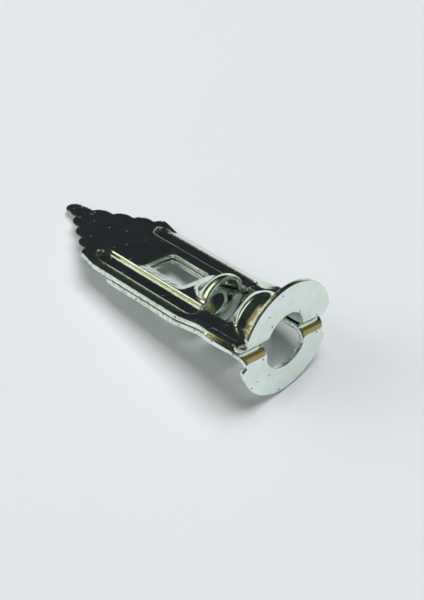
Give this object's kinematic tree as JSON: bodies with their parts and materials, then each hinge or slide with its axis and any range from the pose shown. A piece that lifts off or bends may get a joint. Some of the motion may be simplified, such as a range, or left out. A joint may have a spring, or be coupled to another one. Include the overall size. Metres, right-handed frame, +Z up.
{
  "type": "hammer-in sheet-steel wall anchor",
  "caption": "Flat hammer-in wall anchor of folded zinc-plated steel: split disc head, guides for a screw, and a pair of ribbed leaves with a serrated point that spread behind the board.",
  "frame": {"origin": "centre of the bounding box at the level surface that the anchor lies on, resting on its flange rim, its point and one side of its lower leaf", "axes": "+Z up from that surface; +X points along the screw axis towards the head, level; the screw axis itself climbs 11.1 degrees towards the head and the leaves are rolled 15.5 degrees about it"},
  "size_m": [0.0338, 0.013, 0.0129],
  "materials": {
    "zinc_plate": "bright zinc plate with a faint green and straw passivate tint, fine pits",
    "zinc_plate_leaf": "bright zinc plate, scuffed along the pressed grooves and edges"
  },
  "bodies": {
    "head": {"upper_head": "zinc_plate", "lower_head": "zinc_plate", "side_fold": "zinc_plate"},
    "upper_leaf": {"upper_leaf": "zinc_plate_leaf"},
    "lower_leaf": {"lower_leaf": "zinc_plate_leaf"}
  },
  "joints": [
    {"name": "upper_leaf_spread", "type": "hinge", "parent": "head", "child": "upper_leaf", "pos_m": [0.01027, 0, 0.00543], "axis": [0.0516, 0.9638, -0.2617], "range_deg": [0, 10]},
    {"name": "lower_leaf_spread", "type": "hinge", "parent": "head", "child": "lower_leaf", "pos_m": [0.01027, 0, 0.00543], "axis": [-0.0516, -0.9638, 0.2617], "range_deg": [0, 10]}
  ],
  "couplings": [
    {"joint": "lower_leaf_spread", "follows": "upper_leaf_spread", "ratio": 1}
  ]
}
